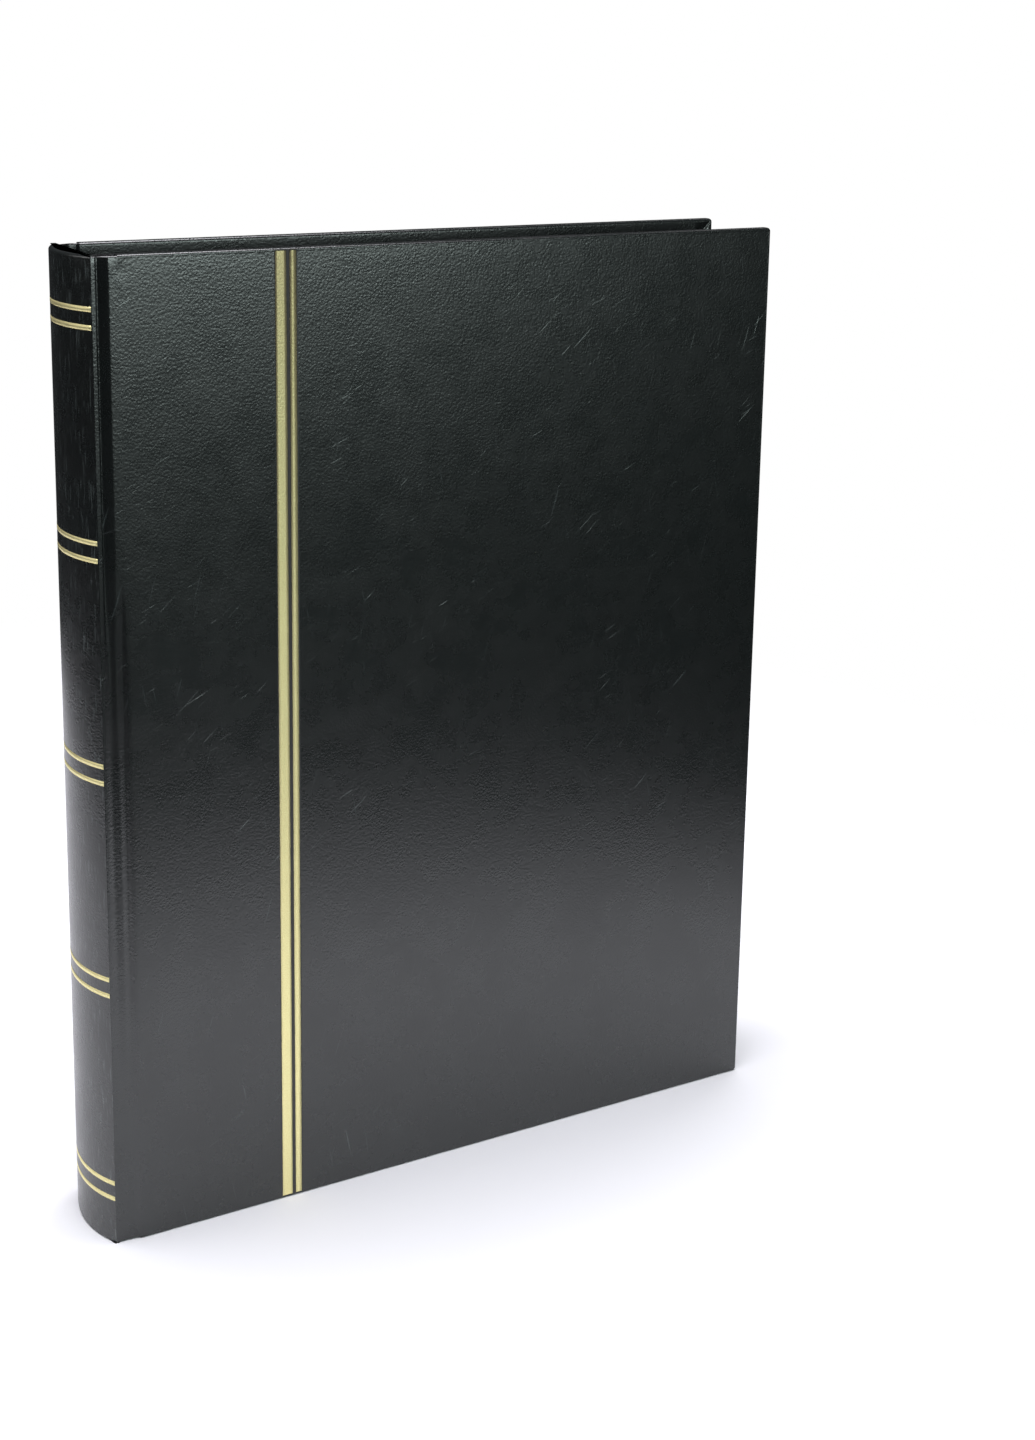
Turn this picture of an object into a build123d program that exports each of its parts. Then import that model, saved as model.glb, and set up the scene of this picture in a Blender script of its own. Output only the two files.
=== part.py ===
from build123d import *
import os
from math import sqrt

# Stamp stock album: a round-backed hard case covered in black leathercloth, holding card
# leaves with clear pocket strips and glassine sheets between them. Millimetres, standing
# on its tail: +Z up, spine towards -X, front cover towards -Y, origin in the middle of
# the footprint.

# ---- Case, overall ----
album_height = 310.0  # tail edge to head edge of the covers
cover_width = 228.0  # covered board, joint to fore edge
album_thickness = 38.0  # outer face to outer face
joint_width = 8.0  # hinge groove between spine and board
spine_rise = 5.0  # how far the round back stands out past its edges
spine_edge_drop = 0.5  # the spine's edges lie this far below the cover faces

# ---- Case, materials ----
leather_t = 0.5
board_t = 2.4
spine_card_t = 1.5
turn_in = 15.0  # leathercloth folded round the boards
edge_round = 0.8  # leathercloth over a board's edge
corner_round = 1.2  # the board's two free corners
pastedown_t = 0.3
pastedown_margin = 4.0  # leathercloth left showing inside the cover
groove_depth = 1.9  # cover face down to the bottom of the joint
shoulder_width = 2.0  # flat strip beside the spine
groove_start = 3.2  # spine edge to the groove's floor
groove_wall = 1.2  # run of the groove's board-side wall
groove_lip = 0.6  # flat left between the groove and the board
spine_card_clearance = 0.1  # the spine card's edges to the underside of the groove

# ---- Gold foil ----
foil_t = 0.08
stripe_start = 47.9  # board's joint edge to the wide stripe
wide_stripe = 3.5
stripe_gap = 1.1
narrow_stripe = 2.1
line_width = 1.5
line_spacing = 5.3  # the two lines of a pair
pair_count = 5
pair_margin = 18.0  # head or tail edge to the middle of the nearest pair
line_edge_gap = 0.2  # the lines stop just short of the spine's edges

# ---- Text block ----
square = 3.5  # the covers overhang the block by this much
fore_square = 4.0
leaf_count = 14
leaf_card_t = 0.9
leaf_to_flyleaf = 1.55  # middle of an outermost leaf to the middle of its flyleaf
guard_reach = 9.0  # spine edge to the free end of each guard
spacer_step = 1.0  # the spacers between guards stop this much sooner
hinge_cloth_width = 7.0  # cloth showing between guard and card
hinge_cloth_t = 0.3
hinge_clearance = 0.2  # a loose sheet starts this far from its hinge line
flyleaf_t = 0.3
flyleaf_gap = 0.6  # flyleaf to the pastedown it faces
interleaf_t = 0.08
interleaf_inset = 1.5  # the glassine is smaller than the card all round
lining_t = 0.4
hollow_back = 0.4  # turn-ins to lining
band_radius = 0.8
band_lift = 0.05

# ---- Pocket strips, on both sides of every leaf ----
pocket_pitch = 31.0
pocket_height = 22.5
first_pocket_drop = 28.0  # head of the leaf to the top of the first strip
last_pocket_margin = 4.0  # least card left bare below the last strip
pocket_side_margin = 3.5
pocket_seal = 1.2  # welded foot and ends
pocket_gap = 0.1
film_t = 0.12

# ---- Wire staples through the guards ----
staple_count = 4
staple_margin = 42.5  # head or tail edge to the middle of the nearest staple
staple_crown = 12.0
staple_wire_r = 0.45
staple_hole_r = 0.5
staple_clinch = 3.6  # length of each leg folded over behind
staple_setback = 5.2  # staples to the guards' free ends

# ---- Places that follow from the sizes ----
overall_width = spine_rise + joint_width + cover_width
x_spine_edge = spine_rise - overall_width / 2
x_board = x_spine_edge + joint_width
x_fore = x_board + cover_width
y_face = album_thickness / 2
y_spine_edge = y_face - spine_edge_drop - leather_t
y_board = y_face - leather_t
y_board_in = y_board - board_t
y_turn_in = y_board_in - leather_t
y_cover_in = y_turn_in - pastedown_t
y_groove = y_face - groove_depth
spine_radius = (y_spine_edge**2 + spine_rise**2) / (2 * spine_rise)
x_spine_centre = x_spine_edge - spine_rise + spine_radius
spine_card_r = spine_radius - leather_t
spine_card_in_r = spine_card_r - spine_card_t
spine_turn_in_r = spine_card_in_r - leather_t
lining_r = spine_turn_in_r - hollow_back
block_back_r = lining_r - lining_t
z_block = square
block_height = album_height - 2 * square
x_guard_end = x_spine_edge + guard_reach
x_spacer_end = x_guard_end - spacer_step
x_card = x_guard_end + hinge_cloth_width
x_leaf_fore = x_fore - fore_square
y_flyleaf = y_cover_in - flyleaf_gap - flyleaf_t / 2
y_block = y_flyleaf + flyleaf_t / 2
FRONT, BACK = -1, 1


def evenly(count, reach):
    """Places for count things, equally far apart, from -reach to +reach."""
    return [reach * (2 * n / (count - 1) - 1) for n in range(count)]


y_leaves = evenly(leaf_count, y_flyleaf - leaf_to_flyleaf)


def slab(x, y, z, mode=Mode.ADD):
    """A rectangular slab between two limits along each axis."""
    size = [max(limits) - min(limits) for limits in (x, y, z)]
    middle = [sum(limits) / 2 for limits in (x, y, z)]
    with Locations(tuple(middle)):
        Box(*size, mode=mode)


def spine_ring(outer_r, inner_r, half_width, z, height, mode=Mode.ADD):
    """A strip that follows the round back, between two radii and up to half_width each way."""
    with BuildSketch(Plane.XY.offset(z)) as section:
        with Locations((x_spine_centre, 0)):
            Circle(outer_r)
            Circle(inner_r, mode=Mode.SUBTRACT)
        with Locations((x_spine_centre - spine_radius, 0)):
            Rectangle(spine_radius, 2 * half_width, mode=Mode.INTERSECT)
    extrude(section.sketch, amount=height, mode=mode)


def write(builder, name):
    builder.part.label = name
    export_step(builder.part, f"parts/{name}.step")


os.makedirs("parts", exist_ok=True)


# ---- Covers: one board, its leathercloth with turn-ins, and its pastedown on each side ----
def cover_board(side):
    with BuildPart() as board:
        slab(
            (x_board, x_fore - leather_t),
            (side * y_board, side * y_board_in),
            (leather_t, album_height - leather_t),
        )
    return board


def stripe_slabs(mode):
    """The front cover's two foil stripes, head to tail, as deep as the foil."""
    start = x_board + stripe_start
    narrow_start = start + wide_stripe + stripe_gap
    for left, right in (
        (start, start + wide_stripe),
        (narrow_start, narrow_start + narrow_stripe),
    ):
        slab((left, right), (-y_face, foil_t - y_face), (0, album_height), mode=mode)


def covered_block(side):
    """The outline of a covered board, rounded where the cloth goes over its three free edges."""
    slab((x_board, x_fore), (side * y_face, side * y_turn_in), (0, album_height))
    corners = edges().filter_by(Axis.Y).group_by(Axis.X)[-1]
    fillet(corners, corner_round)
    rims = faces().filter_by(Axis.Y).edges()
    joint_side = rims.filter_by(Axis.Z).group_by(Axis.X)[0]
    fillet([rim for rim in rims if rim not in joint_side], edge_round)


def cover_leather(side):
    with BuildPart() as leather:
        covered_block(side)
        add(cover_board(side).part, mode=Mode.SUBTRACT)
        slab(
            (x_board, x_fore - turn_in),
            (side * y_board_in, side * y_turn_in),
            (turn_in, album_height - turn_in),
            mode=Mode.SUBTRACT,
        )
        if side == FRONT:
            stripe_slabs(Mode.SUBTRACT)
    return leather


def pastedown(side):
    """Endpaper sheet, with the filler that levels the board between the turn-ins."""
    with BuildPart() as sheet:
        slab(
            (x_board, x_fore - pastedown_margin),
            (side * y_turn_in, side * y_cover_in),
            (pastedown_margin, album_height - pastedown_margin),
        )
        slab(
            (x_board, x_fore - turn_in),
            (side * y_board_in, side * y_turn_in),
            (turn_in, album_height - turn_in),
        )
    return sheet


def joint_leather(side):
    """The free leathercloth between spine and board, pressed into the hinge groove."""
    y_top = y_spine_edge + leather_t
    x_floor = x_spine_edge + groove_start
    x_wall = x_board - groove_lip - groove_wall
    outer = [
        (x_spine_edge, y_spine_edge),
        (x_spine_edge, y_top),
        (x_spine_edge + shoulder_width, y_top),
        (x_floor, y_groove),
        (x_wall, y_groove),
        (x_wall + groove_wall, y_face),
        (x_board, y_face),
    ]
    inner = [
        (x_board, y_board),
        (x_wall + groove_wall + leather_t / 2, y_board),
        (x_wall + leather_t / 2, y_groove - leather_t),
        (x_floor - leather_t / 2, y_groove - leather_t),
        (x_spine_edge + shoulder_width - leather_t / 2, y_spine_edge),
    ]
    with BuildPart() as strip:
        with BuildSketch(Plane.XY.offset(leather_t)):
            Polygon(*[(x, side * y) for x, y in outer + inner], align=None)
        extrude(amount=album_height - 2 * leather_t)
    return strip


for side, name in ((FRONT, "front"), (BACK, "back")):
    write(cover_board(side), f"{name}_board")
    write(cover_leather(side), f"{name}_cover_leather")
    write(pastedown(side), f"{name}_pastedown")
    write(joint_leather(side), f"{name}_joint_leather")

with BuildPart() as stripe_limits:
    stripe_slabs(Mode.ADD)
with BuildPart() as cover_foil_stripes:
    covered_block(FRONT)
    add(stripe_limits.part, mode=Mode.INTERSECT)
write(cover_foil_stripes, "cover_foil_stripes")


# ---- Spine: a rounded card, its leathercloth turned in at head and tail, and the foil lines ----
spine_card_half = y_groove - leather_t - spine_card_clearance
line_heights = [
    album_height / 2 + pair + line
    for pair in evenly(pair_count, album_height / 2 - pair_margin)
    for line in evenly(2, line_spacing / 2)
]


def foil_lines(mode):
    half = y_spine_edge - line_edge_gap
    for z in line_heights:
        spine_ring(spine_radius, spine_radius - foil_t, half, z - line_width / 2, line_width, mode)


with BuildPart() as spine_board:
    inner_height = album_height - 2 * leather_t
    spine_ring(spine_card_r, spine_card_in_r, spine_card_half, leather_t, inner_height)
write(spine_board, "spine_board")

with BuildPart() as spine_leather:
    spine_ring(spine_radius, spine_card_r, y_spine_edge, 0, album_height)
    for z_cap, z_fold in ((0, 0), (album_height - leather_t, album_height - turn_in)):
        spine_ring(spine_card_r, spine_card_in_r, spine_card_half, z_cap, leather_t)
        spine_ring(spine_card_in_r, spine_turn_in_r, spine_card_half, z_fold, turn_in)
    foil_lines(Mode.SUBTRACT)
write(spine_leather, "spine_leather")

with BuildPart() as spine_foil_lines:
    foil_lines(Mode.ADD)
write(spine_foil_lines, "spine_foil_lines")


# ---- Binding: guards and spacers glued and stapled into a block, lined at the back ----
staple_heights = [
    album_height / 2 + z for z in evenly(staple_count, album_height / 2 - staple_margin)
]
leg_heights = [z + leg for z in staple_heights for leg in evenly(2, staple_crown / 2)]
x_staple = x_guard_end - staple_setback


def bored_and_rounded():
    """Rounds the back of the block to the lining and makes the holes for the staples' legs."""
    with BuildSketch(Plane.XY.offset(z_block)) as round_back:
        with Locations((x_spine_centre, 0)):
            Circle(block_back_r)
    extrude(round_back.sketch, amount=block_height, mode=Mode.INTERSECT)
    for z in leg_heights:
        with Locations(Location((x_staple, 0, z), (90, 0, 0))):
            Cylinder(staple_hole_r, 2 * y_block, mode=Mode.SUBTRACT)


with BuildPart() as leaf_guards:
    block_z = (z_block, z_block + block_height)
    for y in y_leaves:
        slab(
            (x_spine_edge - spine_rise, x_guard_end),
            (y - leaf_card_t / 2, y + leaf_card_t / 2),
            block_z,
        )
    bored_and_rounded()

with BuildPart() as guard_spacers:
    half_card = leaf_card_t / 2
    limits = [-y_block] + [y + end * half_card for y in y_leaves for end in (-1, 1)] + [y_block]
    for low, high in zip(limits[::2], limits[1::2]):
        slab((x_spine_edge - spine_rise, x_spacer_end), (low, high), block_z)
    bored_and_rounded()

binding_block = Compound(children=[*leaf_guards.part.solids(), *guard_spacers.part.solids()])
binding_block.label = "leaf_guards"
export_step(binding_block, "parts/leaf_guards.step")

with BuildPart() as spine_lining:
    spine_ring(lining_r, block_back_r, y_block, z_block, block_height)
write(spine_lining, "spine_lining")

with BuildPart() as head_and_tail_bands:
    band_r = block_back_r - band_radius
    for z in (z_block - band_radius - band_lift, z_block + block_height + band_radius + band_lift):
        with BuildLine(Plane.XY.offset(z)) as band_path:
            half_band = y_block - band_radius
            x_band_end = x_spine_centre - sqrt(band_r**2 - half_band**2)
            ThreePointArc(
                (x_band_end, -half_band), (x_spine_centre - band_r, 0), (x_band_end, half_band)
            )
        with BuildSketch(Plane(band_path.line @ 0, z_dir=band_path.line % 0)):
            Circle(band_radius)
        sweep(path=band_path.line)
write(head_and_tail_bands, "head_and_tail_bands")

with BuildPart() as binding_staples:
    y_crown = y_block + staple_wire_r
    for z in staple_heights:
        bottom, top = z - staple_crown / 2, z + staple_crown / 2
        with BuildLine(Plane.YZ.offset(x_staple)) as wire:
            FilletPolyline(
                (y_crown, bottom + staple_clinch),
                (y_crown, bottom),
                (-y_crown, bottom),
                (-y_crown, top),
                (y_crown, top),
                (y_crown, top - staple_clinch),
                radius=staple_wire_r,
            )
        with BuildSketch(Plane(wire.line @ 0, z_dir=wire.line % 0)):
            Circle(staple_wire_r)
        sweep(path=wire.line)
write(binding_staples, "binding_staples")

with BuildPart() as leaf_hinge_cloths:
    for y in y_leaves:
        slab(
            (x_guard_end, x_card),
            (y - hinge_cloth_t / 2, y + hinge_cloth_t / 2),
            (z_block, z_block + block_height),
        )
write(leaf_hinge_cloths, "leaf_hinge_cloths")


# ---- Leaves: a card and the pocket strips on its two faces ----
pocket_depth = pocket_gap + film_t
pocket_x = (x_card + pocket_side_margin, x_leaf_fore - pocket_side_margin)
z_first_pocket = z_block + block_height - first_pocket_drop - pocket_height
z_last_pocket = z_block + last_pocket_margin
pocket_count = int((z_first_pocket - z_last_pocket) / pocket_pitch) + 1


def pocket_strips(y_card_face, side):
    """One face's strips: clear film welded to the card at its foot and ends, open at the top."""
    inside_x = (pocket_x[0] + pocket_seal, pocket_x[1] - pocket_seal)
    for n in range(pocket_count):
        foot = z_first_pocket - n * pocket_pitch
        slab(
            pocket_x, (y_card_face, y_card_face + side * pocket_depth), (foot, foot + pocket_height)
        )
        slab(
            inside_x,
            (y_card_face, y_card_face + side * pocket_gap),
            (foot + pocket_seal, foot + pocket_height),
            mode=Mode.SUBTRACT,
        )


for number, y in enumerate(y_leaves, start=1):
    with BuildPart() as leaf:
        slab(
            (x_card, x_leaf_fore),
            (y - leaf_card_t / 2, y + leaf_card_t / 2),
            (z_block, z_block + block_height),
        )
    write(leaf, f"leaf_{number:02d}")
    with BuildPart() as pockets:
        for side in (FRONT, BACK):
            pocket_strips(y + side * leaf_card_t / 2, side)
    write(pockets, f"leaf_{number:02d}_pockets")


# ---- Loose sheets: a glassine interleaf between each two leaves, and the two flyleaves ----
def turning_sheet(y, thickness, inset):
    with BuildPart() as sheet:
        slab(
            (x_guard_end + hinge_clearance, x_leaf_fore - inset),
            (y - thickness / 2, y + thickness / 2),
            (z_block + inset, z_block + block_height - inset),
        )
    return sheet


for number, (y, y_next) in enumerate(zip(y_leaves, y_leaves[1:]), start=1):
    write(turning_sheet((y + y_next) / 2, interleaf_t, interleaf_inset), f"interleaf_{number:02d}")
for side, name in ((FRONT, "front"), (BACK, "back")):
    write(turning_sheet(side * y_flyleaf, flyleaf_t, 0), f"{name}_flyleaf")
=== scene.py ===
import math

import bmesh
import bpy
from mathutils import Matrix, Vector, noise


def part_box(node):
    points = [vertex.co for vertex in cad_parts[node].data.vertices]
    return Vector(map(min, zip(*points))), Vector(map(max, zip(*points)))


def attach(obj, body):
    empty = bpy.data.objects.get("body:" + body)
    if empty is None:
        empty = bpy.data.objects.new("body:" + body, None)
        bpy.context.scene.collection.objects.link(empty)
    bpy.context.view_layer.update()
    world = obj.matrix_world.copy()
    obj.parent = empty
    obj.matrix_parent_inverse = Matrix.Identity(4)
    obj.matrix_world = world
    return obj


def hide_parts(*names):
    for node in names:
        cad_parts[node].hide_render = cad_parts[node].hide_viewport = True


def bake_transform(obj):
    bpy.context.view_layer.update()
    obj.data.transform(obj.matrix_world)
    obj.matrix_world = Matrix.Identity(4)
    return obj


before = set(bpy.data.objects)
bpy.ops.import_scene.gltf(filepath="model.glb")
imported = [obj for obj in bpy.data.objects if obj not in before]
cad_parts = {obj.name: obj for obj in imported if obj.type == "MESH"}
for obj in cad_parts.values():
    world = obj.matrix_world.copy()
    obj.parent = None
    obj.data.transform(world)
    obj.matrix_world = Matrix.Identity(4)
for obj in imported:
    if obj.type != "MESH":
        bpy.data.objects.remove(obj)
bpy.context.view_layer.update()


# ---- Studio ------------------------------------------------------------------------------
# A sheet of pale paper fading out into a white surround, one soft box in front of the
# covers, one overhead and weak fills all round. The camera stands left of the front cover.
def feed(tree, socket, value):
    """Links an input to the socket that feeds it, or sets its value."""
    if isinstance(value, bpy.types.NodeSocket):
        tree.links.new(value, socket)
    elif value is not None:
        socket.default_value = value


def add_node(tree, kind, settings=None, slots=(), **inputs):
    """A node with its settings and its inputs, by order or by name."""
    made = tree.nodes.new(kind)
    for name, value in (settings or {}).items():
        setattr(made, name, value)
    for socket, value in zip(made.inputs, slots):
        feed(tree, socket, value)
    for name, value in inputs.items():
        feed(tree, made.inputs[name.replace("_", " ")], value)
    return made


def soft_box(name, place, aim, width, height, watts, tint=(1, 1, 1)):
    lamp = bpy.data.lights.new(name, "AREA")
    lamp.shape = "RECTANGLE"
    lamp.size, lamp.size_y = width, height
    lamp.energy, lamp.color = watts, tint
    stand = bpy.data.objects.new(name, lamp)
    stand.location = place
    stand.rotation_euler = (Vector(aim) - Vector(place)).to_track_quat("-Z", "Y").to_euler()
    bpy.context.scene.collection.objects.link(stand)


camera_data = bpy.data.cameras.new("camera")
camera_data.lens = 51.2
camera_data.shift_y = -0.18
camera = bpy.data.objects.new("camera", camera_data)
camera.location = (-0.2944, -0.5786, 0.3763)
camera.rotation_euler = [math.radians(angle) for angle in (77.91, -0.94, -29.41)]
bpy.context.scene.collection.objects.link(camera)
bpy.context.scene.camera = camera
bpy.context.scene.view_settings.view_transform = "Standard"

soft_box("front_box", (0.25, -1.45, 0.42), (0, 0, 0.28), 0.9, 0.3, 7, (0.85, 1, 0.96))
soft_box("top_box", (-0.1, 0.0, 1.6), (0, 0, 0), 1.2, 1.2, 44, (0.96, 0.955, 1))
soft_box("left_fill", (-1.6, 0.5, 0.9), (-0.3, 0.2, 0), 0.8, 0.8, 4)
soft_box("right_fill", (1.5, 0.9, 0.8), (0, 0, 0.15), 0.9, 1.2, 6)

world = bpy.data.worlds.new("surround")
world.use_nodes = True
bpy.context.scene.world = world
tree = world.node_tree
tree.nodes.clear()
seen = add_node(tree, "ShaderNodeBackground", Color=(1, 1, 1, 1), Strength=1.0)
lighting = add_node(tree, "ShaderNodeBackground", Color=(0.9, 0.95, 1, 1), Strength=0.035)
light_path = add_node(tree, "ShaderNodeLightPath")
mix = add_node(
    tree,
    "ShaderNodeMixShader",
    slots=(light_path.outputs["Is Camera Ray"], lighting.outputs[0], seen.outputs[0]),
)
add_node(tree, "ShaderNodeOutputWorld", Surface=mix.outputs[0])

bpy.ops.mesh.primitive_circle_add(
    vertices=96, radius=0.6, fill_type="NGON", location=(-0.05, 0.15, 0)
)
floor = bpy.context.object
floor.name = "floor"
paper = bpy.data.materials.new("floor_paper")
paper.use_nodes = True
tree = paper.node_tree
shader = tree.nodes["Principled BSDF"]
shader.inputs["Base Color"].default_value = (0.85, 0.845, 0.87, 1)
shader.inputs["Roughness"].default_value = 0.85
place = add_node(tree, "ShaderNodeTexCoord")
distance = add_node(
    tree, "ShaderNodeVectorMath", {"operation": "LENGTH"}, slots=(place.outputs["Object"],)
)
fade = add_node(
    tree,
    "ShaderNodeMapRange",
    {"interpolation_type": "SMOOTHSTEP"},
    Value=distance.outputs["Value"],
    From_Min=0.34,
    From_Max=0.53,
)
clear = add_node(tree, "ShaderNodeBsdfTransparent")
mix = add_node(
    tree,
    "ShaderNodeMixShader",
    slots=(fade.outputs["Result"], shader.outputs[0], clear.outputs[0]),
)
tree.links.new(mix.outputs[0], tree.nodes["Material Output"].inputs["Surface"])
floor.data.materials.append(paper)


# ---- Black leathercloth ------------------------------------------------------------------
# One skin of grained leathercloth covers the spine, both hinge grooves and both boards. It
# is glued down, pressed into the grooves, rounded over the edges and turned in with
# mitred corners. The halves meet along the spine's back edge.
MM = 0.001
FRONT, BACK = -1, 1
SIDES = {"front": FRONT, "back": BACK}


def node_group(name, inputs, outputs):
    group = bpy.data.node_groups.new(name, "ShaderNodeTree")
    for label, kind, value in inputs:
        socket = group.interface.new_socket(label, in_out="INPUT", socket_type=kind)
        if value is not None:
            socket.default_value = value
    for label, kind in outputs:
        group.interface.new_socket(label, in_out="OUTPUT", socket_type=kind)
    return group, group.nodes.new("NodeGroupInput"), group.nodes.new("NodeGroupOutput")


def math_node(tree, operation, *values):
    return add_node(tree, "ShaderNodeMath", {"operation": operation}, slots=values).outputs[0]


def noise_node(tree, vector, scale, detail=2.0, roughness=0.5):
    made = add_node(
        tree,
        "ShaderNodeTexNoise",
        Vector=vector,
        Scale=scale,
        Detail=detail,
        Roughness=roughness,
    )
    return made.outputs["Fac"]


def map_range(tree, value, low, high, to_low=0.0, to_high=1.0):
    made = add_node(
        tree,
        "ShaderNodeMapRange",
        Value=value,
        From_Min=low,
        From_Max=high,
        To_Min=to_low,
        To_Max=to_high,
    )
    return made.outputs["Result"]


def mix_colours(tree, factor, first, second):
    made = add_node(tree, "ShaderNodeMix", {"data_type": "RGBA"})
    colour_sockets = {0: factor, 6: first, 7: second}
    for k, value in colour_sockets.items():
        feed(tree, made.inputs[k], value)
    return made.outputs[2]


def grain_group():
    """Pressed leather grain: small rounded pebbles, broken up by creases. Position in mm."""
    group, given, result = node_group(
        "leather_grain",
        [("Position", "NodeSocketVector", None), ("Pebble Size", "NodeSocketFloat", 0.8)],
        [("Height", "NodeSocketFloat"), ("Mottle", "NodeSocketFloat")],
    )
    scale = math_node(group, "DIVIDE", 1.0, given.outputs["Pebble Size"])
    bend = add_node(group, "ShaderNodeTexNoise", Vector=given.outputs["Position"], Scale=0.5)
    bent = add_node(
        group,
        "ShaderNodeVectorMath",
        {"operation": "ADD"},
        slots=(given.outputs["Position"], bend.outputs["Color"]),
    )
    pebbles = add_node(
        group,
        "ShaderNodeTexVoronoi",
        {"feature": "SMOOTH_F1"},
        Vector=bent.outputs[0],
        Scale=scale,
        Smoothness=0.6,
    )
    fine = noise_node(group, given.outputs["Position"], 3.2, 3.0)
    creases = noise_node(group, bent.outputs[0], 0.28, 4.0, 0.65)
    folded = math_node(group, "ABSOLUTE", math_node(group, "SUBTRACT", creases, 0.5))
    height = math_node(group, "MULTIPLY", folded, 0.55)
    height = math_node(group, "MULTIPLY_ADD", fine, 0.2, height)
    height = math_node(group, "MULTIPLY_ADD", pebbles.outputs["Distance"], -0.6, height)
    group.links.new(height, result.inputs["Height"])
    mottle = noise_node(group, given.outputs["Position"], 0.045, 4.0, 0.6)
    group.links.new(mottle, result.inputs["Mottle"])
    return group


def scuff_group():
    """Handling marks: sparse thin scratches lying in several directions, and rubbed patches."""
    group, given, result = node_group(
        "handling_marks",
        [("Position", "NodeSocketVector", None)],
        [("Scratches", "NodeSocketFloat"), ("Rubbed", "NodeSocketFloat")],
    )
    total = 0.0
    for turn, length in ((0.75, 22), (1.3, 30), (0.45, 16), (1.75, 26)):
        laid = add_node(
            group,
            "ShaderNodeMapping",
            {"vector_type": "TEXTURE"},
            Vector=given.outputs["Position"],
            Rotation=(0, 0, turn),
            Scale=(length, 1.0, 1.0),
            Location=(turn * 37, turn * 11, 0),
        )
        lines = noise_node(group, laid.outputs[0], 1.3, 1.5)
        total = math_node(group, "ADD", map_range(group, lines, 0.70, 0.80), total)
    patch = noise_node(group, given.outputs["Position"], 0.02, 3.0)
    kept = math_node(group, "MULTIPLY", total, map_range(group, patch, 0.42, 0.62))
    group.links.new(kept, result.inputs["Scratches"])
    rubbed = noise_node(group, given.outputs["Position"], 0.11, 5.0, 0.7)
    group.links.new(map_range(group, rubbed, 0.3, 0.8), result.inputs["Rubbed"])
    return group


leather_grain = grain_group()
handling_marks = scuff_group()


def place_group(tree, group, **inputs):
    made = tree.nodes.new("ShaderNodeGroup")
    made.node_tree = group
    for name, value in inputs.items():
        feed(tree, made.inputs[name.replace("_", " ")], value)
    return made


def new_material(name):
    material = bpy.data.materials.new(name)
    material.use_nodes = True
    return material, material.node_tree, material.node_tree.nodes["Principled BSDF"]


def in_millimetres(tree, source):
    """The position on a piece in millimetres, from its own UV map or its Object coordinates."""
    place = add_node(tree, "ShaderNodeTexCoord")
    made = add_node(
        tree,
        "ShaderNodeVectorMath",
        {"operation": "SCALE"},
        slots=(place.outputs[source],),
        Scale=1 / MM,
    )
    return made.outputs[0]


def bump(tree, shader, height, depth, strength=1.0):
    made = add_node(tree, "ShaderNodeBump", Strength=strength, Distance=depth, Height=height)
    tree.links.new(made.outputs[0], shader.inputs["Normal"])


# Where the cloth's map lays the spine, the back, the inner faces and the ends, in metres,
# and a span in millimetres that parts the spine from the rest.
spine_patch, back_patch, inner_patch, end_patch = -0.3, 0.4, 0.9, (1.6, 0.7)
past_spine = (-260, -250)


def leathercloth():
    """Black cloth with a pressed leather grain, scratched, and rubbed lighter on the spine."""
    material, tree, shader = new_material("black_leathercloth")
    position = in_millimetres(tree, "UV")
    grain = place_group(tree, leather_grain, Position=position, Pebble_Size=0.75)
    marks = place_group(tree, handling_marks, Position=position)
    tone = mix_colours(
        tree,
        map_range(tree, grain.outputs["Mottle"], 0.35, 0.7),
        (0.0030, 0.0042, 0.0040, 1),
        (0.0065, 0.0088, 0.0084, 1),
    )
    worn = math_node(tree, "MULTIPLY", marks.outputs["Scratches"], 0.45)
    tone = mix_colours(tree, worn, tone, (0.10, 0.12, 0.12, 1))
    across = add_node(tree, "ShaderNodeSeparateXYZ", slots=(position,)).outputs["X"]
    drawn_out = add_node(tree, "ShaderNodeMapping", Vector=position, Scale=(1.5, 0.11, 1))
    streaks = noise_node(tree, drawn_out.outputs[0], 1.0, 3.0, 0.6)
    on_spine = map_range(tree, across, *past_spine, 1.0, 0.0)
    streaks = math_node(tree, "MULTIPLY", map_range(tree, streaks, 0.56, 0.70), on_spine)
    tone = mix_colours(tree, streaks, tone, (0.07, 0.084, 0.082, 1))
    pressed = math_node(tree, "SUBTRACT", across, (x_board + sum(foil_band) / 2) / MM)
    pressed = math_node(tree, "ABSOLUTE", pressed)
    half_band = (foil_band[1] - foil_band[0]) / 2 / MM
    pressed = map_range(tree, pressed, half_band + 0.2, half_band + 0.45, 1.0, 0.0)
    tone = mix_colours(tree, pressed, tone, (0.006, 0.0025, 0.0012, 1))
    tree.links.new(tone, shader.inputs["Base Color"])
    rough = map_range(tree, grain.outputs["Mottle"], 0.3, 0.75, 0.28, 0.22)
    rough = math_node(tree, "MULTIPLY_ADD", marks.outputs["Rubbed"], 0.06, rough)
    rough = math_node(tree, "MULTIPLY_ADD", pressed, 0.3, rough)
    tree.links.new(rough, shader.inputs["Roughness"])
    shader.inputs["Specular IOR Level"].default_value = 0.85
    scratches = marks.outputs["Scratches"]
    height = math_node(tree, "MULTIPLY_ADD", scratches, -0.5, grain.outputs["Height"])
    bump(tree, shader, height, 0.00007)
    return material


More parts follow.
